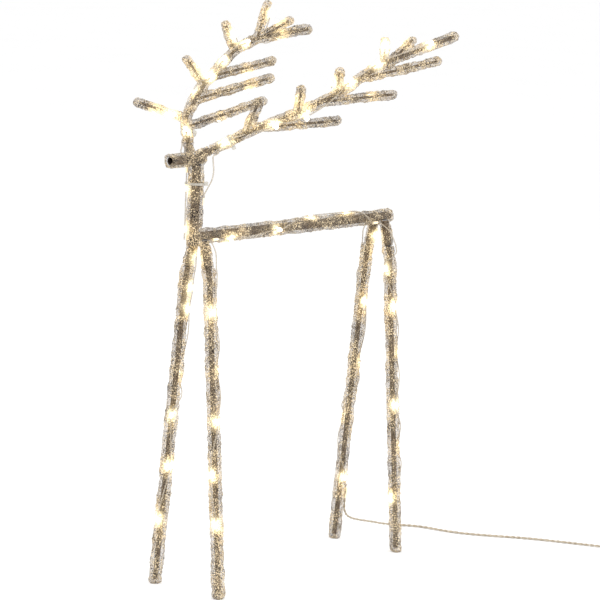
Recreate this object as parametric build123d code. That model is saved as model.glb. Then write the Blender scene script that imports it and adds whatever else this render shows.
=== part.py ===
from build123d import *
import math
import os

# Light up yard reindeer: a welded tube body, and four legs and two antlers that plug into it.
# Every tube, leg and antler twig carries a coat of clear ice plastic, and a string of small
# lamps is wound on the outside of the ice. All sizes are millimetres.
# +x runs from nose to tail, -y is the deer's left side, +z is up, and the feet stand on z = 0.

# ---------------------------------------------------------------- body
spine_height = 396.0       # axis of the spine tube above the ground
leg_spacing = 324.0        # front legs to rear legs
front_x = -144.0           # plane of the front legs
spine_past_rear = 15.0     # spine tube behind the rear legs
neck_forward = 9.0         # neck axis ahead of the front legs
neck_below_spine = 6.0     # end of the neck tube under the spine axis
head_rise = 85.0           # axis of the head tube above the spine axis
head_reach = 42.0          # open nose of the head tube ahead of the neck axis
head_behind = 9.0          # head tube behind the neck axis
body_tube = 10.0           # outer diameter of the spine, neck and head tubes
body_wall = 1.0
spine_ice = 16.6           # outer diameters of the ice
neck_ice = 17.6
head_ice = 15.6
ice_past_spine = 4.0       # ice over the tail end of the spine tube
ice_past_nose = 4.0        # ice ahead of the open nose
neck_ice_gap = 2.0         # neck ice stops this far under the head tube
neck_ice_below = 9.5       # neck ice under the spine axis
head_ice_behind = 11.0     # head ice behind the neck axis
ice_round = 3.5            # rounding at the ends of the body's ice

# ---------------------------------------------------------------- legs
foot_spread = 94.0         # between the two feet of a pair, at the ground
knee_spread = 34.0         # between the two knees of a pair
knee_drop = 44.0           # knees below the spine axis
root_spread = 15.0         # between the two sockets of a pair, at their roots
root_drop = 4.0            # socket roots below the spine axis
knee_bend = 60.0           # radius of the bend at the knee
leg_rod = 6.0
leg_ice = 14.6
leg_ice_round = 1.2        # rounding of the ice at the top of a leg
foot_round = 3.6           # rounding round the flat of a foot
rod_above_foot = 5.0       # rod stops this far above the ground, inside the ice

# ---------------------------------------------------------------- sockets
socket_wall = 1.15
peg_clearance = 0.1        # radial, between a peg and its socket
peg_end_gap = 0.5          # between the end of a peg and the bottom of its socket
mouth_gap = 0.5            # between a socket's mouth and the ice that butts on it
leg_socket_length = 30.0
leg_socket_floor = 4.0     # solid end of a leg socket
socket_ice_wall = 2.2      # ice over a socket
socket_ice_short = 0.2     # bare socket left at its mouth
antler_socket_length = 15.0
antler_socket_floor = 2.5

# ---------------------------------------------------------------- antlers
# Points are measured from where the neck and head axes cross: back, outwards and up.
beam_rod = 5.0
tine_rod = 3.0
beam_ice = 11.8
tine_ice = 10.8
beam_bend = 40.0
tip_round = 4.2
rod_short_of_tip = 6.0

left_beam = [(-5, 5.5, 3.5), (29, 44, 31), (85, 69, 52.5), (142, 77, 71.5), (205, 92, 105.5), (321, 107, 135)]
right_beam = [(-5, 5.5, 3.5), (29, 44, 39.5), (88, 69, 73), (147, 77, 109), (205, 92, 120.5), (320, 107, 129)]

# each twig: where it leaves the beam, and its tip
left_tines = {
    "first": ((29, 44, 31), (-4, 87, 70)),
    "second": ((85, 69, 52.5), (70, 85, 83)),
    "third": ((142, 77, 71.5), (134, 86, 101)),
    "fourth": ((205, 92, 105.5), (213, 87, 133)),
    "fifth": ((219, 94, 109), (264, 89, 132)),
    "low_front": ((48, 52, 37), (174, 57, 39.5)),
    "low_middle": ((122, 75, 64), (241, 84, 69)),
    "low_rear": ((180, 88, 90), (296, 104, 107)),
}
right_tines = {
    "first": ((29, 44, 39.5), (-6, 88, 56)),
    "second": ((88, 69, 73), (71, 85, 104)),
    "third": ((147, 77, 109), (137, 85, 142)),
    "fourth": ((205, 92, 120.5), (217, 87, 164)),
    "fifth": ((216, 94, 121.5), (263, 89, 142)),
    "low_front": ((20, 34, 31), (162, 42, 54)),
    "low_middle": ((59, 56, 58), (205, 68, 77)),
    "low_rear": ((101, 71, 81), (234, 90, 94)),
}

# ---------------------------------------------------------------- lamps and their string
lamp_width = 4.2
lamp_height = 3.4          # dome above its sleeve
sleeve_width = 3.0
sleeve_length = 8.0
wire = 1.6                 # insulated twin, taken as round
wire_off_ice = 1.6         # wire axis above the ice
wire_straight = 3.2        # straight run of a wire at a lamp, along the limb
wire_end_gap = 0.05        # between the end of a wire and the sleeve that it enters
wire_step = 13.0           # between the bends of a wound wire
twig_wire_start = 8.0      # a twig's own wire starts this far from the beam's axis
least_wire = 2.0           # smallest piece of wire kept where the string passes a fork, by volume
show_side = Vector(-0.78, -0.62, 0.0)   # the left front quarter, where angle 0 round a limb looks

# each lamp: share of the limb's length from its root, and angle round it in degrees
spine_lamps = [(0.155, 45), (0.38, 0), (0.58, -95), (0.78, -115)]
neck_lamps = [(0.154, -95), (0.648, -95)]
leg_lamps = {
    "front_left": [(0.13, -19), (0.31, -150), (0.46, -30), (0.62, 40), (0.77, 0)],
    "front_right": [(0.065, -75), (0.13, -60), (0.34, -170), (0.46, 0), (0.62, -25), (0.79, 25)],
    "rear_left": [(0.07, 45), (0.195, -40), (0.345, -140), (0.515, -23), (0.655, -150), (0.82, 60)],
    "rear_right": [(0.04, 180), (0.19, -45), (0.40, -150), (0.59, 140), (0.785, -27)],
}
antler_lamps = {
    "left": {
        "beam": [(0.05, -15), (0.205, 30), (0.317, 80), (0.52, -30), (0.635, -30), (0.86, -20)],
        "first": [(0.25, -165)],
        "second": [(0.42, -165)],
        "third": [(0.45, -75)],
        "fourth": [(0.62, 0)],
        "fifth": [(0.72, -150)],
        "low_middle": [(0.70, 180)],
    },
    "right": {
        "beam": [(0.05, 0), (0.265, -100), (0.35, 0), (0.44, -15), (0.572, -15), (0.84, 150)],
        "first": [(0.27, -20), (0.58, -150)],
        "second": [(0.48, 165)],
        "third": [(0.49, 75)],
        "fourth": [(0.68, 100)],
        "fifth": [(0.73, -150)],
        "low_front": [(0.47, 150)],
        "low_middle": [(0.70, 135)],
        "low_rear": [(0.60, 135)],
    },
}

# the angle at which the string starts on each limb, close to its socket
string_start_share = 0.01
string_start = {"front_left": -90, "front_right": -75, "rear_left": -90, "rear_right": 120}
antler_string_start = {"left": 60, "right": -60}
neck_string_start = (0.03, -95)

# branch joints of the string on the body, where a slack wire leaves for a leg or an antler:
# share of the spine or neck, angle, and the way the slack leaves along it
leg_joints = {
    "front_left": (0.072, 20, -1),
    "front_right": (0.072, 160, -1),
    "rear_left": (0.90, 30, 1),
    "rear_right": (0.90, 150, 1),
}
antler_joints = {"left": (0.50, 68, 1), "right": (0.88, -95, 1)}
slack_lead = 4.0           # straight run at each end of a slack wire
slack_bulge = {            # the point that a slack wire swings out to
    "front_left": (-135.5, -18, 380),
    "front_right": (-135, 11, 378),
    "rear_left": (177, -19.5, 381),
    "rear_right": (172, 18, 380),
    "left": (-144, -18, 463),
    "right": (-161, 17, 486),
}

# ---------------------------------------------------------------- clear cable ties
tie_width = 2.6
tie_thick = 1.1
tie_gap = 0.1              # between a tie and what it holds
tie_lock = 4.4
tie_from_lamp = 5.5        # a tie stands this far beyond the middle of a lamp's sleeve
neck_tie_lock = 100
antler_tie_lock = {"left": 110, "right": 120}      # angle of the lock of each antler's tie

# ---------------------------------------------------------------- low voltage lead
lead = 3.2                 # clear twin, taken as round
lead_length = 3000.0
lead_leg = "rear_right"
lead_joint = (0.83, -125)             # start of the moulded joint on that leg
lead_joint_length = 12.0
lead_joint_width = 4.6
lead_joint_off_ice = 2.5   # its axis above the ice
lead_first_run = 13.0
lead_route = [(196.5, 43, 26), (209.5, 43.6, 19.6), (227, 43, 15), (245.5, 42, 10.5), (262.5, 39.5, 6.2),
              (278, 34.5, 3), (292, 25.5, 1.6), (301, 11.5, 1.6), (305, -6, 1.6), (306.5, -25, 1.6),
              (311, -44, 1.6), (319, -62.5, 1.6), (330, -82, 1.6), (344, -103, 1.6), (357, -126, 1.6),
              (370, -151, 1.6), (381, -177, 1.6), (391, -203, 2.2), (400, -229, 2.8), (406, -248, 2.8)]
coil_columns = 5           # strands side by side
coil_layers = 6            # strands on top of each other
coil_middle = 32.5         # mean diameter
tail_runs = (24.0, 22.0, 12.0)
tail_heights = (18.8, 12.0, 7.5, 7.5)  # from the coil's top strand down to the plug's axis
tail_turn = -20.0
coil_above_ground = 1.2
coil_tie_width = 3.0
coil_tie_gap = 0.3
coil_tie_angle = 35
relief_length = 9.0
plug_length = 20.0
plug_width = 15.0
pin_width = 2.4
pin_spacing = 6.4
pin_length = 12.0
pin_in_plug = 8.0


# ---------------------------------------------------------------- derived places
neck_x = front_x - neck_forward
head_z = spine_height + head_rise
rear_x = front_x + leg_spacing
spine_end = rear_x + spine_past_rear
nose_x = neck_x - head_reach
sides = {"left": -1, "right": 1}
leg_planes = {"front": front_x, "rear": rear_x}
beams = {"left": left_beam, "right": right_beam}
tines = {"left": left_tines, "right": right_tines}


def at_head(point, side):
    """A point given from the crossing of the neck and head axes; side is -1 on the left, 1 on the right."""
    back, out, up = point
    return Vector(neck_x + back, side * out, head_z + up)


# ---------------------------------------------------------------- shapes
def bar(start, end, diameter):
    """A straight round bar between two points."""
    along = end - start
    place = Plane(origin=start, z_dir=along)
    return place * Cylinder(diameter / 2, along.length, align=(Align.CENTER, Align.CENTER, Align.MIN))


def corner_radii(points, largest=1e9):
    """The bend at each inner point: as large as its two runs allow, up to the largest."""
    radii = []
    for before, here, after in zip(points, points[1:], points[2:]):
        turn = math.radians((here - before).get_angle(after - here))
        shorter = min((here - before).length, (after - here).length)
        radii.append(min(largest, 0.45 * shorter / math.tan(turn / 2)))
    return radii


def without_straight_points(points):
    """The route without the points where it turns less than a degree."""
    kept = [points[0]]
    for here, after in zip(points[1:], points[2:]):
        if (here - kept[-1]).get_angle(after - here) > 1.0:
            kept.append(here)
    kept.append(points[-1])
    return kept


def bent_line(points, largest=1e9):
    """Straight runs joined by tangent arcs."""
    if len(points) == 2:
        return Line(points[0], points[1])
    return FilletPolyline(*points, radius=corner_radii(points, largest))


def round_along(line, diameter):
    """A round section swept along a line."""
    section = Plane(origin=line @ 0, z_dir=line % 0) * Circle(diameter / 2)
    return sweep(section, path=line)


def cut(shape, tools):
    """The shape less each of the tools."""
    for tool in tools:
        shape = shape - tool
    return shape


def rounded_end(shape, point, radius):
    """The shape with the edge nearest to a point rounded."""
    edge = min(shape.edges(), key=lambda e: (e.center(CenterOf.BOUNDING_BOX) - point).length)
    return fillet(edge, radius)


def one_node(solids):
    return Compound(children=list(solids)) if len(solids) > 1 else solids[0]


def save(node, solids):
    """Writes one node; its solids are a shape or a list of shapes."""
    listed = solids if isinstance(solids, list) else [solids]
    export_step(one_node(listed), f"parts/{node}.step")


def largest(shape):
    return max(shape.solids(), key=lambda solid: solid.volume)


# ---------------------------------------------------------------- lamps
def round_a_limb(line, share, angle, reach):
    """A point beside a limb, with the outward direction and the limb's own direction there."""
    centre = line @ share
    along = (line % share).normalized()
    facing = (show_side - along * show_side.dot(along)).normalized()
    across = along.cross(facing)
    outward = facing * math.cos(math.radians(angle)) + across * math.sin(math.radians(angle))
    return centre + outward * reach, outward, along


def lamp_parts(line, share, angle, ice_diameter):
    """One lamp dome and the sleeve that it stands on, which lies along the limb."""
    reach = ice_diameter / 2 + wire_off_ice
    point, outward, along = round_a_limb(line, share, angle, reach)
    sleeve = bar(point - along * sleeve_length / 2, point + along * sleeve_length / 2, sleeve_width)
    top = sleeve_width / 2 + lamp_height
    dome = bar(point, point + outward * top, lamp_width)
    dome = rounded_end(dome, point + outward * top, lamp_width / 2 - 0.3)
    return dome - sleeve, sleeve


def string_points(line, start, end, ice_diameter, trim_start, trim_end):
    """Points of a wire wound along a limb between two (share, angle) places, straight at both ends."""
    reach = ice_diameter / 2 + wire_off_ice
    length = line.length
    first = start[0] + trim_start / length
    last = end[0] - trim_end / length
    straight = min(wire_straight, (last - first) * length / 4) / length
    begin, stop = first + straight, last - straight
    steps = max(1, round((stop - begin) * length / wire_step))
    steps = max(steps, math.ceil(abs(end[1] - start[1]) / 30))
    points = [round_a_limb(line, first, start[1], reach)[0]]
    for i in range(steps + 1):
        t = i / steps
        points.append(round_a_limb(line, begin + (stop - begin) * t, start[1] + (end[1] - start[1]) * t, reach)[0])
    points.append(round_a_limb(line, last, end[1], reach)[0])
    return points


def wound_string(line, lamps, ice_diameter, root, tip=None):
    """The wires between the lamps of one limb, from its root to its last lamp."""
    half = sleeve_length / 2 + wire_end_gap
    stops = [(root, wire_end_gap)] + [(lamp, half) for lamp in sorted(lamps)]
    if tip:
        stops.append((tip, wire_end_gap))
    wires = []
    for (start, trim_start), (end, trim_end) in zip(stops, stops[1:]):
        points = string_points(line, start, end, ice_diameter, trim_start, trim_end)
        wires.append(round_along(bent_line(without_straight_points(points)), wire))
    return wires


def lamps_on(line, lamps, ice_diameter):
    """The domes and the sleeves of one limb."""
    pairs = [lamp_parts(line, share, angle, ice_diameter) for share, angle in lamps]
    return [pair[0] for pair in pairs], [pair[1] for pair in pairs]


# ---------------------------------------------------------------- body
def tube_of_body(start, end, closed=0.0):
    """Outside and bore of one of the body's tubes; a closed start keeps that much metal."""
    along = (end - start).normalized()
    outside = bar(start, end, body_tube)
    return outside, bar(start + along * closed, end, body_tube - 2 * body_wall)


def socket(root, along, length, rod, floor):
    """Outside and bore of a short tube with a floor, into which a peg plugs, and the ice over it."""
    bore = rod + 2 * peg_clearance
    outside = bore + 2 * socket_wall
    mouth = root + along * length
    ice = bar(root, mouth - along * socket_ice_short, outside + 2 * socket_ice_wall)
    return bar(root, mouth, outside), bar(root + along * floor, mouth, bore), ice


def leg_axis(x, side):
    """Root of a leg socket, and the direction in which its leg pulls out."""
    root = Vector(x, side * root_spread / 2, spine_height - root_drop)
    knee = Vector(x, side * knee_spread / 2, spine_height - knee_drop)
    return root, (knee - root).normalized()


def antler_axis(side_name):
    """Root of an antler socket, and the direction in which its antler pulls out."""
    side = sides[side_name]
    root = at_head(beams[side_name][0], side)
    return root, (at_head(beams[side_name][1], side) - root).normalized()


def leg_sockets(end):
    """The two sockets of a pair of legs."""
    made = []
    for side in sides.values():
        root, along = leg_axis(leg_planes[end], side)
        made.append(socket(root, along, leg_socket_length, leg_rod, leg_socket_floor))
    return made


def antler_sockets():
    made = []
    for side_name in sides:
        root, along = antler_axis(side_name)
        made.append(socket(root, along, antler_socket_length, beam_rod, antler_socket_floor))
    return made


def spine_line():
    return Line((neck_x, 0, spine_height), (spine_end, 0, spine_height))


def neck_line():
    return Line((neck_x, 0, spine_height - neck_below_spine), (neck_x, 0, head_z))


def head_line():
    return Line((nose_x, 0, head_z), (neck_x + head_behind, 0, head_z))


def build_body():
    """The welded tubes with their sockets, and the ice on them."""
    neck, neck_bore = tube_of_body(neck_line() @ 0, neck_line() @ 1, closed=body_wall)
    spine, spine_bore = tube_of_body(spine_line() @ 0, spine_line() @ 1)
    head, head_bore = tube_of_body(head_line() @ 0, head_line() @ 1)
    save("spine_tube", spine - spine_bore - neck)
    save("neck_tube", neck - neck_bore - head)
    save("head_tube", head - head_bore)

    metal = [neck, spine, head]
    sleeves = []
    for end in leg_planes:
        made = leg_sockets(end)
        save(f"{end}_leg_sockets", [largest(cut(outside, [bore, spine, neck])) for outside, bore, ice in made])
        metal += [outside for outside, bore, ice in made]
        sleeves += [ice for outside, bore, ice in made]
    made = antler_sockets()
    save("antler_sockets", [largest(cut(outside, [bore, head, neck])) for outside, bore, ice in made])
    metal += [outside for outside, bore, ice in made]

    low = Vector(neck_x, 0, spine_height - neck_ice_below)
    high = Vector(neck_x, 0, head_z - body_tube / 2 - neck_ice_gap)
    neck_coat = rounded_end(rounded_end(bar(low, high, neck_ice), low, ice_round), high, ice_round / 2)
    tail = Vector(spine_end + ice_past_spine, 0, spine_height)
    spine_coat = rounded_end(bar(spine_line() @ 0, tail, spine_ice), tail, ice_round)
    for sleeve in sleeves:
        spine_coat = spine_coat + sleeve
    face = Vector(nose_x - ice_past_nose, 0, head_z)
    nape = Vector(neck_x + head_ice_behind, 0, head_z)
    head_coat = rounded_end(rounded_end(bar(face, nape, head_ice), face, ice_round / 2), nape, ice_round)
    for outside, bore, ice in made:
        head_coat = head_coat + ice
    nose_hole = bar(face, head_line() @ 1, body_tube)
    save("neck_ice", largest(cut(neck_coat, metal)))
    save("spine_ice", largest(cut(spine_coat, [neck_coat] + metal)))
    save("head_ice", largest(cut(head_coat, [nose_hole, neck_coat] + metal)))


def joint_sleeve(line, joint, ice_diameter):
    """The sleeve of a branch joint, and the two points where its slack wire leaves it."""
    share, angle, way = joint
    point, outward, along = round_a_limb(line, share, angle, ice_diameter / 2 + wire_off_ice)
    sleeve = bar(point - along * sleeve_length / 2, point + along * sleeve_length / 2, sleeve_width)
    leave = point + along * way * sleeve_length / 2
    return sleeve, [leave, leave + along * way * slack_lead]


def build_body_lights():
    """Lamps and string of the spine and the neck, and the tie that holds the string to the neck."""
    spine, neck = spine_line(), neck_line()
    half_on_spine = sleeve_length / 2 / spine.length
    half_on_neck = sleeve_length / 2 / neck.length
    spine_domes, spine_sleeves = lamps_on(spine, spine_lamps, spine_ice)
    neck_domes, neck_sleeves = lamps_on(neck, neck_lamps, neck_ice)
    for joint in leg_joints.values():
        spine_sleeves.append(joint_sleeve(spine, joint, spine_ice)[0])
    for joint in antler_joints.values():
        neck_sleeves.append(joint_sleeve(neck, joint, neck_ice)[0])
    first, last, top = leg_joints["front_left"], leg_joints["rear_left"], antler_joints["right"]
    wires = wound_string(spine, spine_lamps, spine_ice, (first[0] + half_on_spine, first[1]),
                         (last[0] - half_on_spine, last[1]))
    wires += wound_string(neck, neck_lamps, neck_ice, neck_string_start, (top[0] - half_on_neck, top[1]))
    save("body_bulbs", spine_domes + neck_domes)
    save("body_sleeves", spine_sleeves + neck_sleeves)
    save("body_wire", wires)
    save("neck_tie", string_tie(neck, neck_lamps[-1], neck_ice, neck_tie_lock))


# ---------------------------------------------------------------- ties
def string_tie(line, lamp, ice_diameter, lock_angle):
    """A clear cable tie beside a lamp, round the limb and the wire, with its lock at another angle."""
    length = line.length
    share = lamp[0] + tie_from_lamp / length
    wire_angle = lamp[1]
    low = share - tie_width / 2 / length
    high = share + tie_width / 2 / length
    start, end = line @ low, line @ high
    reach = ice_diameter / 2 + wire_off_ice
    wire_start = round_a_limb(line, low, wire_angle, reach)[0]
    wire_end = round_a_limb(line, high, wire_angle, reach)[0]
    outside = bar(start, end, ice_diameter + 2 * tie_thick)
    outside = outside + bar(wire_start, wire_end, wire + 2 * tie_thick)
    lock_at, outward, along = round_a_limb(line, share, lock_angle, ice_diameter / 2 + tie_lock / 2)
    lock_place = Plane(origin=lock_at, x_dir=along, z_dir=outward)
    outside = outside + lock_place * Box(tie_lock, tie_lock + 1, tie_lock)
    return largest(cut(outside, [bar(start, end, ice_diameter + 2 * tie_gap),
                                 bar(wire_start, wire_end, wire + 2 * tie_gap),
                                 line_core(line, share, ice_diameter)]))


def line_core(line, share, ice_diameter):
    """The limb itself near a share of its length, which a tie's lock doesn't enter."""
    middle = line @ share
    along = (line % share).normalized()
    return bar(middle - along * tie_lock, middle + along * tie_lock, ice_diameter + 2 * tie_gap)


# ---------------------------------------------------------------- legs
def leg_line(end, side_name):
    """The line of a leg's ice, from the mouth of its socket to the ground."""
    side = sides[side_name]
    root, along = leg_axis(leg_planes[end], side)
    knee = Vector(root.X, side * knee_spread / 2, spine_height - knee_drop)
    foot = Vector(root.X, side * foot_spread / 2, 0)
    top = root + along * (leg_socket_length + mouth_gap)
    return bent_line([top, knee, foot], min([knee_bend] + corner_radii([top, knee, foot])))


def build_leg(end, side_name):
    """A leg: its rod with the peg, its ice, its lamps and string, and the slack wire to the body."""
    name = f"{end}_{side_name}"
    side = sides[side_name]
    root, along = leg_axis(leg_planes[end], side)
    knee = Vector(root.X, side * knee_spread / 2, spine_height - knee_drop)
    foot = Vector(root.X, side * foot_spread / 2, 0)
    shin = (foot - knee).normalized()
    top = root + along * (leg_socket_length + mouth_gap)
    bend = min([knee_bend] + corner_radii([top, knee, foot]))
    peg_end = root + along * (leg_socket_floor + peg_end_gap)
    rod = round_along(bent_line([peg_end, knee, foot - shin * rod_above_foot], bend), leg_rod)
    coat = round_along(bent_line([top, knee, foot + shin * leg_ice], bend), leg_ice)
    coat = coat - Pos(foot.X, foot.Y, -leg_ice) * Box(6 * leg_ice, 6 * leg_ice, 2 * leg_ice)
    coat = rounded_end(rounded_end(coat, foot, foot_round), top, leg_ice_round)
    save(f"{name}_leg_rod", rod)
    save(f"{name}_leg_ice", largest(coat - rod))

    line = leg_line(end, side_name)
    lamps = leg_lamps[name]
    domes, sleeves = lamps_on(line, lamps, leg_ice)
    last = None
    if name == lead_leg:
        last = lead_joint
        sleeves.append(lead_joint_sleeve(line))
    save(f"{name}_bulbs", domes)
    save(f"{name}_sleeves", sleeves)
    save(f"{name}_wire", wound_string(line, lamps, leg_ice, (string_start_share, string_start[name]), last))
    slack = joint_sleeve(spine_line(), leg_joints[name], spine_ice)[1]
    save(f"{name}_slack_wire", slack_wire(slack, name, line, string_start[name], leg_ice))


def slack_wire(leaving, name, line, angle, ice_diameter):
    """A loose wire from a branch joint on the body to the start of the string on a limb."""
    arriving, outward, along = round_a_limb(line, string_start_share, angle, ice_diameter / 2 + wire_off_ice)
    before = arriving - along * slack_lead
    return round_along(bent_line([*leaving, Vector(*slack_bulge[name]), before, arriving]), wire)


def lead_joint_sleeve(line):
    """The moulded joint where the thick lead leaves the string, lying along the leg."""
    share, angle = lead_joint
    start = round_a_limb(line, share, angle, leg_ice / 2 + lead_joint_off_ice)[0]
    along = (line % share).normalized()
    return bar(start, start + along * lead_joint_length, lead_joint_width)


# ---------------------------------------------------------------- antlers
def build_antler(side_name):
    """An antler: its beam and twigs, their ice, its lamps and string, and the slack wire to the neck."""
    side = sides[side_name]
    points = [at_head(point, side) for point in beams[side_name]]
    root, along = antler_axis(side_name)
    tip_way = (points[-1] - points[-2]).normalized()
    bends = [min(beam_bend, radius) for radius in corner_radii(points)]
    peg_end = root + along * (antler_socket_floor + peg_end_gap)
    top = root + along * (antler_socket_length + mouth_gap)
    rod_points = [peg_end] + points[1:-1] + [points[-1] - tip_way * rod_short_of_tip]
    ice_points = [top] + points[1:]
    beam = round_along(FilletPolyline(*rod_points, radius=bends), beam_rod)
    ice_line = FilletPolyline(*ice_points, radius=bends)
    coat = rounded_end(round_along(ice_line, beam_ice), points[-1], tip_round)

    rods = []
    coats = []
    lines = {"beam": ice_line}
    for twig, (start, tip) in tines[side_name].items():
        start, tip = at_head(start, side), at_head(tip, side)
        way = (tip - start).normalized()
        lines[twig] = Line(start, tip)
        rods.append(bar(start, tip - way * rod_short_of_tip, tine_rod))
        twig_coat = rounded_end(bar(start, tip, tine_ice), tip, tip_round)
        coats.append(largest(cut(twig_coat, [coat] + coats)))
    save(f"{side_name}_beam_rod", beam)
    save(f"{side_name}_beam_ice", largest(cut(coat, [beam] + rods)))
    save(f"{side_name}_tine_rods", [largest(rod - beam) for rod in rods])
    save(f"{side_name}_tine_ice", [largest(twig_coat - rod) for twig_coat, rod in zip(coats, rods)])

    domes = []
    sleeves = []
    wires = []
    all_ice = [coat] + coats
    start_angle = antler_string_start[side_name]
    for twig, lamps in antler_lamps[side_name].items():
        made = lamps_on(lines[twig], lamps, beam_ice if twig == "beam" else tine_ice)
        domes += made[0]
        sleeves += made[1]
        if twig == "beam":
            runs = wound_string(ice_line, lamps, beam_ice, (string_start_share, start_angle))
        else:
            runs = [twig_wire(lines[twig], lamps[0])]
        for run in runs:
            wires += [piece for piece in cut(run, all_ice).solids() if piece.volume > least_wire]
    save(f"{side_name}_antler_bulbs", domes)
    save(f"{side_name}_antler_sleeves", sleeves)
    save(f"{side_name}_antler_wire", wires)
    first_lamp = antler_lamps[side_name]["beam"][0]
    save(f"{side_name}_antler_tie", string_tie(ice_line, first_lamp, beam_ice, antler_tie_lock[side_name]))
    slack = joint_sleeve(neck_line(), antler_joints[side_name], neck_ice)[1]
    save(f"{side_name}_antler_slack_wire", slack_wire(slack, side_name, ice_line, start_angle, beam_ice))


def twig_wire(line, lamp):
    """The straight wire from the beam to the first lamp on a twig."""
    share, angle = lamp
    reach = tine_ice / 2 + wire_off_ice
    half = sleeve_length / 2 + wire_end_gap
    start = round_a_limb(line, twig_wire_start / line.length, angle, reach)[0]
    end = round_a_limb(line, share - half / line.length, angle, reach)[0]
    return bar(start, end, wire)


# ---------------------------------------------------------------- lead
def lead_start():
    """Bottom end of the moulded joint on the leg, and the way the lead leaves it."""
    line = leg_line(*lead_leg.split("_"))
    share, angle = lead_joint
    start, outward, way = round_a_limb(line, share, angle, leg_ice / 2 + lead_joint_off_ice)
    return start + way * (lead_joint_length + wire_end_gap), way


def coil_place():
    """Centre of the coil, on the ground: its middle circle touches the end of the lead's route."""
    before, end = Vector(*lead_route[-2]), Vector(*lead_route[-1])
    ahead = (end - before).normalized()
    ahead = Vector(ahead.X, ahead.Y, 0).normalized()
    aside = Vector(-ahead.Y, ahead.X, 0)
    return Vector(end.X, end.Y, 0) + aside * coil_middle / 2 - ahead * 6, ahead, aside


def build_lead():
    """The lead along the ground, its coil, the tie on the coil, and the plug."""
    start, way = lead_start()
    centre, ahead, aside = coil_place()
    points = [start, start + way * lead_first_run] + [Vector(*point) for point in lead_route]
    line = bent_line(points)
    turned = aside.rotate(Axis.Z, tail_turn)
    place = centre + ahead * coil_middle / 2
    tail_points = [place + Vector(0, 0, tail_heights[0])]
    for run, height, way in zip(tail_runs, tail_heights[1:], (aside, turned, turned)):
        place = place + way * run
        tail_points.append(place + Vector(0, 0, height))
    tail_line = bent_line(tail_points)
    radii = corner_radii(points) + corner_radii(tail_points)
    print("lead runs:", [round((b - a).length) for a, b in zip(points, points[1:])])
    print("lead bends, in diameters:", [round(radius / lead, 1) for radius in radii])
    turns = (coil_columns - 1) * coil_layers
    coiled = turns * math.pi * coil_middle
    print("lead length", round(line.length + coiled + tail_line.length), "of", lead_length, "with", turns, "turns")
    tube = round_along(line, lead)
    print("lead volume over section times length", round(tube.volume / (math.pi * lead ** 2 / 4 * line.length), 4))

    height = coil_layers * lead
    width = coil_columns * lead
    place = Pos(centre.X, centre.Y, coil_above_ground + height / 2)
    coil = place * (Cylinder((coil_middle + width) / 2, height) - Cylinder((coil_middle - width) / 2, height))
    save("lead_cord", [largest(tube - coil), largest(round_along(tail_line, lead) - coil)])
    save("lead_coil", coil)
    tie_place = place * Rot(0, 0, coil_tie_angle) * Pos(coil_middle / 2, 0, 0)
    inside = Box(width + 2 * coil_tie_gap, 2 * coil_tie_width, height + 2 * coil_tie_gap)
    outside = Box(width + 2 * coil_above_ground, coil_tie_width, height + 2 * coil_above_ground)
    save("coil_tie", tie_place * (outside - inside))

    plug_place = Plane(origin=tail_points[-1], x_dir=turned.cross(Vector(0, 0, 1)), z_dir=turned)
    relief = Cone(lead * 0.7, plug_width * 0.3, relief_length, align=(Align.CENTER, Align.CENTER, Align.MIN))
    body = relief + Pos(0, 0, relief_length) * Cylinder(
        plug_width / 2, plug_length, align=(Align.CENTER, Align.CENTER, Align.MIN))
    pins = []
    for across in (-pin_spacing / 2, pin_spacing / 2):
        pin = Pos(across, 0, relief_length + plug_length - pin_in_plug) * Cylinder(
            pin_width / 2, pin_in_plug + pin_length, align=(Align.CENTER, Align.CENTER, Align.MIN))
        pins.append(plug_place * pin)
        body = body - pin
    save("lead_plug", plug_place * body)
    save("lead_pins", pins)


os.makedirs("parts", exist_ok=True)
build_body()
build_body_lights()
for leg_end in leg_planes:
    for leg_side in sides:
        build_leg(leg_end, leg_side)
for antler_side in sides:
    build_antler(antler_side)
build_lead()
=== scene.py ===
import math

import bmesh
import bpy
import numpy as np
from mathutils import Matrix, Vector, noise
from mathutils.bvhtree import BVHTree
from mathutils.kdtree import KDTree


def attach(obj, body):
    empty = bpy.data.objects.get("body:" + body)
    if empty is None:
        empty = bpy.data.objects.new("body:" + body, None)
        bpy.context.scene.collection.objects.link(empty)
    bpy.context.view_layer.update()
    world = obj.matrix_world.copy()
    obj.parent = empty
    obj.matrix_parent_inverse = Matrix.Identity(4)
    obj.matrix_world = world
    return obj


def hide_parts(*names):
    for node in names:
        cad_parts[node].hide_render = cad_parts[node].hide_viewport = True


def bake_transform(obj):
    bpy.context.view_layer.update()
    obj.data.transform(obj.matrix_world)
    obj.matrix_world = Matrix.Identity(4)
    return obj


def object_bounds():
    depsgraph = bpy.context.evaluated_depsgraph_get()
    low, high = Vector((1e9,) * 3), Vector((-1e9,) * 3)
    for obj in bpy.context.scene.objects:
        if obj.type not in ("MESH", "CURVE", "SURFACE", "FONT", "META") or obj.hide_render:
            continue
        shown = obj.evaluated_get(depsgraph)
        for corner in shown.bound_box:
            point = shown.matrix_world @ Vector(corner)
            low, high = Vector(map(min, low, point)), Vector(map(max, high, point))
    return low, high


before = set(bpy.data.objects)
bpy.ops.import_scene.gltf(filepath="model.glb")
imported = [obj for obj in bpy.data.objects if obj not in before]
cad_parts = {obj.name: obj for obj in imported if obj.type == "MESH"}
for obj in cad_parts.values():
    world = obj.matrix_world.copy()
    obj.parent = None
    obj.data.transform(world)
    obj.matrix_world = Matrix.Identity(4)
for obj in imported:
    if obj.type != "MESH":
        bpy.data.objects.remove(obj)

cad_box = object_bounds()
scene = bpy.context.scene

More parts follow.
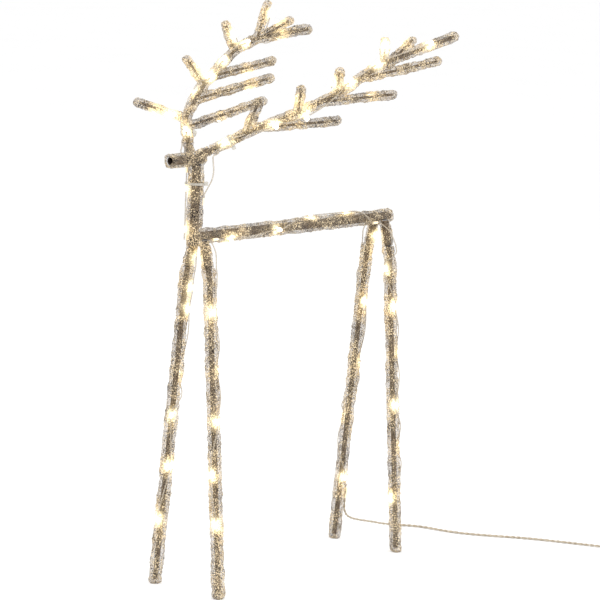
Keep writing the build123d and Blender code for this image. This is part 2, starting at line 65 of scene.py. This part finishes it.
# ---------------------------------------------------------------- camera
# A long lens at the deer's left front quarter, a little above its back.
look_yaw = math.radians(-51.43)
look_down = math.radians(8.58)
look_roll = math.radians(-2.43)
back = Vector((math.sin(look_yaw) * math.cos(look_down), -math.cos(look_yaw) * math.cos(look_down),
               math.sin(look_down)))
across = Vector((math.cos(look_yaw), math.sin(look_yaw), 0))
up = back.cross(across)
camera_x = math.cos(look_roll) * across - math.sin(look_roll) * up
camera_y = math.sin(look_roll) * across + math.cos(look_roll) * up
camera_place = (-2.4176, -1.9567, 0.7832)
lens = bpy.data.cameras.new("camera")
lens.lens = 166.74
lens.sensor_width = 36
lens.clip_end = 150
camera = bpy.data.objects.new("camera", lens)
camera_turn = Matrix((camera_x, camera_y, back)).transposed().to_4x4()
camera.matrix_world = Matrix.Translation(camera_place) @ camera_turn
scene.collection.objects.link(camera)
scene.camera = camera


# ---------------------------------------------------------------- paint on the tubes and rods
# Steel tube and rod, painted satin dark brown before the ice goes on. Every finish of the deer is
# built from the nodes that these helpers add.
class Value:
    """One socket of a finish. An expression on it adds Math nodes."""

    def __init__(self, tree, socket=None):
        self.tree = tree
        self.socket = socket

    def node(self, kind, settings=(), values=(), output=0):
        """Adds a node, with its settings set first and then its sockets' values or links."""
        made = self.tree.nodes.new(kind)
        for name, value in dict(settings).items():
            if name == "stops":
                ramp = made.color_ramp.elements
                while len(ramp) < len(value):
                    ramp.new(0.5)
                for stop, (place, colour) in zip(ramp, value):
                    stop.position = place
                    stop.color = (*colour, 1)
            else:
                setattr(made, name, value)
        for name, value in dict(values).items():
            if isinstance(value, Value):
                self.tree.links.new(value.socket, made.inputs[name])
            else:
                made.inputs[name].default_value = value
        return Value(self.tree, made.outputs[output])

    def maths(self, operation, first, second, clamp=False):
        settings = {"operation": operation, "use_clamp": clamp}
        return self.node("ShaderNodeMath", settings, {0: first, 1: second})

    def __add__(self, other):
        return self.maths("ADD", self, other)

    def __radd__(self, other):
        return self.maths("ADD", other, self)

    def __sub__(self, other):
        return self.maths("SUBTRACT", self, other)

    def __rsub__(self, other):
        return self.maths("SUBTRACT", other, self)

    def __mul__(self, other):
        return self.maths("MULTIPLY", self, other)

    def __rmul__(self, other):
        return self.maths("MULTIPLY", other, self)

    def clamped(self):
        return self.maths("ADD", self, 0.0, True)

    def ramp(self, low, high):
        """0 below low, 1 above high, smooth between."""
        return self.node("ShaderNodeMapRange", {"interpolation_type": "SMOOTHSTEP"},
                         {"Value": self, "From Min": low, "From Max": high})

    def colours(self, stops):
        return self.node("ShaderNodeValToRGB", {"stops": stops}, {"Fac": self})

    def mix(self, low, high):
        """Low where this is 0, high where it is 1; both are colours."""
        pad = [colour if isinstance(colour, Value) else (*colour, 1) for colour in (low, high)]
        return self.node("ShaderNodeMix", {"data_type": "RGBA"},
                         {0: self, 6: pad[0], 7: pad[1]}, 2)

    def noise(self, scale, detail=2.0, roughness=0.5):
        place = self.node("ShaderNodeTexCoord", output=3)
        return self.node("ShaderNodeTexNoise", {}, {"Vector": place, "Scale": scale, "Detail": detail,
                                                    "Roughness": roughness})

    def bump(self, strength, depth):
        return self.node("ShaderNodeBump", {}, {"Strength": strength, "Distance": depth, "Height": self})


def finish(name, **constants):
    """A new material: the material, its shader's inputs, and a start for expressions."""
    material = bpy.data.materials.new(name)
    material.use_nodes = True
    shader = material.node_tree.nodes["Principled BSDF"]
    for socket, value in constants.items():
        shader.inputs[socket.replace("_", " ")].default_value = value
    return material, shader, Value(material.node_tree)


def feed(shader, **values):
    """Links values to the shader's sockets."""
    for socket, value in values.items():
        value.tree.links.new(value.socket, shader.inputs[socket.replace("_", " ")])


def give(material, *names):
    """Puts a finish on CAD nodes."""
    for name in names:
        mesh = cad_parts[name].data
        mesh.materials.clear()
        mesh.materials.append(material)


brown_paint, shader, start = finish("brown_paint", Coat_Weight=0.15, Coat_Roughness=0.3)
mottle = start.noise(160, 4)
chips = start.noise(900, 3, 0.7).ramp(0.66, 0.72)
paint = mottle.mix((0.020, 0.013, 0.010), (0.050, 0.036, 0.028))
feed(shader, Base_Color=chips.mix(paint, (0.10, 0.085, 0.075)), Roughness=mottle * 0.3 + 0.32,
     Normal=(mottle + chips * 0.4).bump(0.35, 0.0004))
legs = ["front_left", "front_right", "rear_left", "rear_right"]
antlers = ["left", "right"]
body_metal = ["spine_tube", "neck_tube", "head_tube",
              "antler_sockets", "front_leg_sockets", "rear_leg_sockets"]
give(brown_paint, *body_metal)
give(brown_paint, *[f"{leg}_leg_rod" for leg in legs])
give(brown_paint, *[f"{antler}_{part}" for antler in antlers for part in ("beam_rod", "tine_rods")])

# ---------------------------------------------------------------- low voltage lead
# Two clear-skinned strands twisted together, from the moulded joint on the rear right leg along the
# ground. The stored length is wound into a ring of 24 turns, and the far end goes into a plug.
strand_pitch = 0.0032                    # distance between neighbouring turns
lead_route = [(0.1894, 0.04, 0.0494), (0.1894, 0.0411, 0.0364), (0.1965, 0.043, 0.026),
              (0.2095, 0.0436, 0.0196), (0.227, 0.043, 0.015), (0.2455, 0.042, 0.0105),
              (0.2625, 0.0395, 0.0062), (0.278, 0.0345, 0.003), (0.292, 0.0255, 0.0017),
              (0.301, 0.0115, 0.0017), (0.305, -0.006, 0.0017), (0.3065, -0.025, 0.0017),
              (0.311, -0.044, 0.0017), (0.319, -0.0625, 0.0017), (0.33, -0.082, 0.0017),
              (0.344, -0.103, 0.0017), (0.356, -0.1265, 0.0017), (0.3675, -0.1525, 0.0017),
              (0.377, -0.179, 0.0017), (0.3852, -0.205, 0.0022), (0.393, -0.23, 0.0028)]
coil_x, coil_y, coil_z = zip(*[vertex.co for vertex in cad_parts["lead_coil"].data.vertices])
coil_centre = Vector((min(coil_x) + max(coil_x), min(coil_y) + max(coil_y), 0)) / 2
coil_ahead = Vector((6, -19, 0)).normalized()     # the way in which the route reaches the coil
coil_aside = Vector((19, 6, 0)).normalized()
coil_low = 0.0028
coil_outer = 0.02265
columns = 4
points_per_turn = 16


def coil_place(turns):
    """Radius and height of the strand after so many turns: across one strand a turn, then up a layer."""
    steps = math.floor(turns + 0.25)
    part = min(1.0, (turns + 0.25 - steps) * 4)
    done = max(0.0, steps - 1 + part) if steps else 0.0
    lap, along = divmod(done, 2 * columns)
    column = along if along <= columns else 2 * columns - along
    climbs = sum(min(1.0, max(0.0, (turns - columns * k) * 4)) for k in range(1, 6))
    return coil_outer - column * strand_pitch, coil_low + climbs * strand_pitch


points = [Vector(point) for point in lead_route]
for i in range(int(24.25 * points_per_turn) + 1):
    turns = i / points_per_turn
    radius, height = coil_place(turns)
    angle = 2 * math.pi * turns
    outward = -coil_aside * math.cos(angle) + coil_ahead * math.sin(angle)
    points.append(coil_centre + outward * radius + Vector((0, 0, height)))
tail_way = Matrix.Rotation(math.radians(-20), 3, "Z") @ coil_aside
tail = coil_centre + coil_ahead * 0.0195 + coil_aside * 0.024
points.append(tail + Vector((0, 0, 0.012)))
points.append(tail + tail_way * 0.022 + Vector((0, 0, 0.0076)))
points.append(tail + tail_way * 0.034 + Vector((0, 0, 0.0075)))


def smooth_line(name, route):
    """Points along the NURBS line of a route."""
    curve = bpy.data.curves.new(name, "CURVE")
    curve.dimensions = "3D"
    spline = curve.splines.new("NURBS")
    spline.points.add(len(route) - 1)
    for point, place in zip(spline.points, route):
        point.co = (*place, 1)
    spline.order_u = 3
    spline.use_endpoint_u = True
    spline.resolution_u = 6
    holder = bpy.data.objects.new(name, curve)
    scene.collection.objects.link(holder)
    mesh = bpy.data.meshes.new_from_object(holder)
    line = [vertex.co.copy() for vertex in mesh.vertices]
    bpy.data.objects.remove(holder)
    bpy.data.meshes.remove(mesh)
    return line


def tube_mesh(name, lines, radius, sides):
    """Round tubes along lines of points, as one object."""
    mesh = bmesh.new()
    for line in lines:
        rings = []
        side = None
        for i, place in enumerate(line):
            way = (line[min(i + 1, len(line) - 1)] - line[max(i - 1, 0)]).normalized()
            side = way.orthogonal() if side is None else side - way * side.dot(way)
            side.normalize()
            other = way.cross(side)
            rings.append([mesh.verts.new(place + (side * math.cos(a) + other * math.sin(a)) * radius)
                          for a in (2 * math.pi * k / sides for k in range(sides))])
        for ring, following in zip(rings, rings[1:]):
            for k in range(sides):
                mesh.faces.new((ring[k], ring[(k + 1) % sides], following[(k + 1) % sides], following[k]))
        mesh.faces.new(reversed(rings[0]))
        mesh.faces.new(rings[-1])
    data = bpy.data.meshes.new(name)
    mesh.to_mesh(data)
    mesh.free()
    data.shade_smooth()
    made = bpy.data.objects.new(name, data)
    scene.collection.objects.link(made)
    return made


def twisted(line, offset, lay, step):
    """Two lines that turn round a line of points, one lay for each full turn."""
    places = [line[0]]
    for here in line[1:]:
        while (here - places[-1]).length > step:
            places.append(places[-1] + (here - places[-1]).normalized() * step)
    pair = ([], [])
    side = None
    for i, place in enumerate(places):
        way = (places[min(i + 1, len(places) - 1)] - places[max(i - 1, 0)]).normalized()
        side = way.orthogonal() if side is None else side - way * side.dot(way)
        side.normalize()
        turned = Matrix.Rotation(2 * math.pi * i * step / lay, 3, way) @ side
        pair[0].append(place + turned * offset)
        pair[1].append(place - turned * offset)
    return pair


lead_line = smooth_line("lead_line", points)
strand_offset = 0.00072                  # axis of a strand from the middle of the pair
strand_radius = 0.00086
twist_lay = 0.014                        # length of lead for one full twist
lead = tube_mesh("lead", twisted(lead_line, strand_offset, twist_lay, 0.0018), strand_radius, 7)


def clear_insulation(name, density):
    """A new material: see-through insulation over fine copper strands."""
    made, shader, start = finish(name, Coat_Weight=0.5, Coat_Roughness=0.12, IOR=1.47, Specular_IOR_Level=0.6)
    strand = start.noise(700, 3)
    feed(shader, Base_Color=strand.ramp(0.35, 0.65).mix((0.30, 0.24, 0.165), (0.60, 0.52, 0.40)),
         Roughness=start.noise(90, 2) * 0.2 + 0.14, Normal=strand.bump(0.25, 0.0002),
         Alpha=(strand * 0.4 + density - 0.2).clamped())
    return made


lead.data.materials.append(clear_insulation("lead_skin", 0.95))
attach(lead, "rear_right_leg")
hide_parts("lead_cord", "lead_coil")
plug_plastic, shader, start = finish("plug_plastic", Coat_Weight=0.2, Coat_Roughness=0.3)
flow = start.noise(60, 3)
feed(shader, Base_Color=flow.mix((0.56, 0.54, 0.48), (0.70, 0.68, 0.62)), Roughness=flow * 0.2 + 0.3,
     Normal=start.noise(1200, 2).bump(0.15, 0.0002))
give(plug_plastic, "lead_plug")
pin_brass, shader, start = finish("pin_brass", Metallic=1.0)
drawn = start.noise(400, 3)
feed(shader, Base_Color=drawn.mix((0.62, 0.46, 0.20), (0.80, 0.64, 0.34)), Roughness=drawn * 0.2 + 0.18,
     Normal=drawn.bump(0.2, 0.0001))
give(pin_brass, "lead_pins")

# ---------------------------------------------------------------- lamps
# Small warm white lamps: a frosted dome on a sleeve of clear heat shrink that holds its two wires.
# They are lit, the sleeves get a faint painted glow, and the places of the domes set where painted glow goes
# on the ice round them.
def shells(name):
    """Middles of the separate solids of a CAD node."""
    mesh = bmesh.new()
    mesh.from_mesh(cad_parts[name].data)
    bmesh.ops.remove_doubles(mesh, verts=mesh.verts, dist=1e-6)
    left = set(mesh.verts)
    middles = []
    while left:
        reached = [left.pop()]
        for vertex in reached:
            for edge in vertex.link_edges:
                other = edge.other_vert(vertex)
                if other in left:
                    left.remove(other)
                    reached.append(other)
        middles.append(sum((vertex.co for vertex in reached), Vector()) / len(reached))
    mesh.free()
    return middles


strings = ["body"] + legs + [f"{antler}_antler" for antler in antlers]
lamps = [middle for name in strings for middle in shells(f"{name}_bulbs")]
# Two more places that get painted glow on the ice, besides the lamps.
forks = [Vector((-0.144, 0, 0.370)), Vector((0.18, 0, 0.372))]  # light gathers between two leg roots
lit_lamps = KDTree(len(lamps + forks))
for i, middle in enumerate(lamps + forks):
    lit_lamps.insert(middle, i)
lit_lamps.balance()
lamp_glass, shader, start = finish("lamp_glass", Emission_Strength=9.0, Roughness=0.3)
frost = start.noise(900, 2)
feed(shader, Emission_Color=frost.mix((1.0, 0.80, 0.50), (1.0, 0.90, 0.68)),
     Base_Color=frost.mix((0.95, 0.85, 0.66), (1.0, 0.93, 0.80)), Normal=frost.bump(0.2, 0.0002))
give(lamp_glass, *[f"{name}_bulbs" for name in strings])
# The sleeves carry a faint painted glow: a warm emission, mottled by the shrink, for lamp light in the
# plastic.
sleeve_plastic_painted_glow, shader, start = finish("sleeve_plastic_painted_glow", Coat_Weight=0.5, Coat_Roughness=0.15,
                                       Emission_Strength=0.7)
shrink = start.noise(500, 3)
feed(shader, Base_Color=shrink.mix((0.62, 0.55, 0.40), (0.86, 0.80, 0.66)), Roughness=shrink * 0.25 + 0.2,
     Emission_Color=shrink.mix((0.5, 0.34, 0.14), (1.0, 0.76, 0.40)), Normal=shrink.bump(0.3, 0.0003))
give(sleeve_plastic_painted_glow, *[f"{name}_sleeves" for name in strings])

# ---------------------------------------------------------------- ice
# Clear plastic poured over each limb and left lumpy, with gilt flecks and dark grit all through it, so
# that the dark rod shows only in places. Near each lamp it has painted glow: warm emission, and a paler, more
# opaque colour.
lump_rise = 0.0012
even_size = 0.00095        # spacing of the mesh's points
core_reach = 0.0014        # points this near the metal, and facing it, are the ice's inner wall
inside_box = 0.00005       # the lumps stay this far inside the CAD model's box
# Reach and spread of the painted lamp glow on the ice.
glow_reach = 0.042
near_glow = 0.008          # spread of the bright glow at a lamp, and of the faint one round it
wide_glow = 0.019


def lumps(place):
    """How far the ice stands out at a place."""
    drift = noise.noise(place * 62)
    knob = noise.noise(place * 150 + Vector((3, 7, 1)))
    grain = noise.noise(place * 420 + Vector((9, 2, 5)))
    return (drift + knob * 0.9 + grain * 0.8) * lump_rise


def glow(place):
    """Light that reaches a place from the lamps near it, which the ice paints in as glow and colour."""
    light = 0.0
    for middle, index, distance in lit_lamps.find_range(place, glow_reach):
        light += 0.9 * math.exp(-(distance / near_glow) ** 2) + 0.32 * math.exp(-(distance / wide_glow) ** 2)
    return light


def faces_core(vertex, tree):
    """Whether a place of the ice lies on the metal inside it."""
    core_normal = tree.find_nearest(vertex.co, core_reach)[1]
    return core_normal is not None and core_normal.dot(vertex.normal) < -0.2


def iced(name, cad_names, cores, body):
    """The lumpy ice on a limb, which stands for the CAD ice; its inner wall is left off."""
    source = bmesh.new()
    for cad_name in cad_names:
        source.from_mesh(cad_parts[cad_name].data)
    data = bpy.data.meshes.new(name)
    source.to_mesh(data)
    source.free()
    made = bpy.data.objects.new(name, data)
    scene.collection.objects.link(made)
    remesh = made.modifiers.new("even", "REMESH")
    remesh.mode = "VOXEL"
    remesh.voxel_size = even_size
    depsgraph = bpy.context.evaluated_depsgraph_get()
    even = bpy.data.meshes.new_from_object(made.evaluated_get(depsgraph))
    made.modifiers.clear()
    made.data = even
    trees = []
    for core in cores:
        core_mesh = bmesh.new()
        core_mesh.from_mesh(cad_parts[core].data)
        trees.append(BVHTree.FromBMesh(core_mesh))
        core_mesh.free()
    mesh = bmesh.new()
    mesh.from_mesh(even)
    mesh.normal_update()
    inner = [vertex for vertex in mesh.verts if any(faces_core(vertex, tree) for tree in trees)]
    bmesh.ops.delete(mesh, geom=inner, context="VERTS")
    for turn in range(2):
        bmesh.ops.smooth_vert(mesh, verts=mesh.verts, factor=0.5,
                              use_axis_x=True, use_axis_y=True, use_axis_z=True)
    mesh.normal_update()
    moved = [vertex.co + vertex.normal * lumps(vertex.co) for vertex in mesh.verts]
    for vertex, place in zip(mesh.verts, moved):
        vertex.co = [min(max(value, low + inside_box), high - inside_box)
                     for value, low, high in zip(place, *cad_box)]
    mesh.to_mesh(even)
    mesh.free()
    even.shade_smooth()
    # The painted lamp glow, stored at each point for the ice's finish.
    light = even.attributes.new("lamp_light", "FLOAT", "POINT")
    light.data.foreach_set("value", [min(1.5, glow(vertex.co)) for vertex in even.vertices])
    even.materials.clear()
    even.materials.append(ice)
    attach(made, body)
    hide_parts(*cad_names)
    return made


ice, shader, start = finish("ice", Coat_Weight=0.04, Coat_Roughness=0.1, Emission_Strength=1.0,
                            Specular_IOR_Level=0.25)
light = start.node("ShaderNodeAttribute", {"attribute_name": "lamp_light"}, output=2)
clouds = start.noise(95, 3)
specks = start.noise(640, 2, 0.6)
patches = start.noise(48, 2)
# Where the stored lamp light is strong, the finish paints in the lamps' glow: the flecks gain and the grit
# thins there.
near = light.ramp(0.15, 0.9)
grit = (start.noise(860, 2) + clouds * 0.3 + patches * 0.2 - near * 0.1).ramp(0.785, 0.83)
flecks = (specks + clouds * 0.4 - patches * 0.6 + near * 0.09).ramp(0.445, 0.49)
film = clouds.ramp(0.35, 0.65).mix((0.30, 0.21, 0.125), (0.60, 0.475, 0.32))
gilt = specks.ramp(0.47, 0.62).mix((0.36, 0.25, 0.14), (0.92, 0.76, 0.50))
crusted = grit.mix(flecks.mix(film, gilt), (0.020, 0.012, 0.008))
# Painted glow: a warm emission from the stored lamp light that is strongest on the flecks and off on the dark
# grit. Near a lamp the colour also turns pale gold and more opaque.
shine = light.colours([(0.0, (0, 0, 0)), (0.08, (0.10, 0.062, 0.020)), (0.28, (0.46, 0.30, 0.10)),
                       (0.55, (1.0, 0.76, 0.36)), (0.85, (1.1, 1.0, 0.74))])
feed(shader, Base_Color=near.mix(crusted, (1.0, 0.88, 0.60)),
     Alpha=(0.27 + clouds.ramp(0.4, 0.7) * 0.12 + flecks * 0.5 + grit * 0.45 + near * 0.3).clamped(),
     Roughness=specks * 0.35 + 0.25,
     Emission_Color=(grit * (1 - near) + (1 - flecks) * 0.4).clamped().mix(shine, (0, 0, 0)),
     Normal=(specks * 0.6 + clouds * 0.5).bump(0.7, 0.0008))
iced("body_lumps", ["spine_ice", "neck_ice", "head_ice"], body_metal, "body")
for leg in legs:
    iced(f"{leg}_leg_lumps", [f"{leg}_leg_ice"], [f"{leg}_leg_rod"], f"{leg}_leg")
for antler in antlers:
    iced(f"{antler}_antler_lumps", [f"{antler}_beam_ice", f"{antler}_tine_ice"],
         [f"{antler}_beam_rod", f"{antler}_tine_rods"], f"{antler}_antler")

# ---------------------------------------------------------------- string
# Fine twin wire in clear insulation, wound round the limbs between the lamps. Slack loops cross
# from the body to each leg and antler, so that these can be pulled out of their sockets.
clear_skin = clear_insulation("clear_skin", 0.5)
give(clear_skin, *[f"{name}_wire" for name in strings])


def closest_place(wire, neighbour):
    """The place on a wire that lies closest to another node."""
    mesh = bmesh.new()
    mesh.from_mesh(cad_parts[neighbour].data)
    tree = BVHTree.FromBMesh(mesh)
    mesh.free()
    return tuple(min((vertex.co for vertex in wire.vertices), key=lambda place: tree.find_nearest(place)[3]))


for limb in legs + [f"{antler}_antler" for antler in antlers]:
    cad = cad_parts[f"{limb}_slack_wire"]
    slack = bpy.data.objects.new(f"{limb}_slack", cad.data.copy())
    scene.collection.objects.link(slack)
    slack.data.materials.clear()
    slack.data.materials.append(clear_skin)
    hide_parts(f"{limb}_slack_wire")
    closest_place(slack.data, "body_sleeves")
    closest_place(slack.data, f"{limb}_wire")
    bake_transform(slack)

# ---------------------------------------------------------------- ties
# Natural nylon cable ties, which hold the string to the neck and to each antler, and the coil shut.
nylon, shader, start = finish("nylon", Coat_Weight=0.3, Coat_Roughness=0.2)
grain = start.noise(350, 3)
feed(shader, Base_Color=grain.mix((0.44, 0.41, 0.35), (0.62, 0.59, 0.52)), Roughness=grain * 0.2 + 0.25,
     Normal=grain.bump(0.25, 0.0002), Alpha=grain * 0.25 + 0.4)
give(nylon, "neck_tie", "left_antler_tie", "right_antler_tie", "coil_tie")

# ---------------------------------------------------------------- floor and light
# A plain pale floor under soft light from all round, with one large lamp for the gloss.
floor = bpy.data.objects.new("floor", bpy.data.meshes.new("floor"))
floor.data.from_pydata([(-60, -60, 0), (60, -60, 0), (60, 60, 0), (-60, 60, 0)], [], [(0, 1, 2, 3)])
scene.collection.objects.link(floor)
pale, shader, start = finish("pale_floor", Roughness=0.9, Specular_IOR_Level=0.1)
feed(shader, Base_Color=start.noise(3, 2).mix((0.88, 0.88, 0.88), (0.90, 0.90, 0.90)))
floor.data.materials.append(pale)
sky = bpy.data.worlds.new("sky")
sky.use_nodes = True
sky.node_tree.nodes["Background"].inputs["Color"].default_value = (1, 1, 1, 1)
sky.node_tree.nodes["Background"].inputs["Strength"].default_value = 1.12
scene.world = sky
panels = [((-1.6, -1.2, 2.0), 1.2, 26), ((1.2, -1.6, 1.2), 0.8, 8), ((0.5, 1.8, 1.6), 1.0, 10)]
for place, size, power in panels:
    panel = bpy.data.lights.new("panel", "AREA")
    panel.size = size
    panel.energy = power
    holder = bpy.data.objects.new("panel", panel)
    holder.location = place
    holder.rotation_mode = "QUATERNION"
    holder.rotation_quaternion = (Vector((0, 0, 0.3)) - Vector(place)).to_track_quat("-Z", "Y")
    scene.collection.objects.link(holder)
scene.view_settings.view_transform = "Standard"
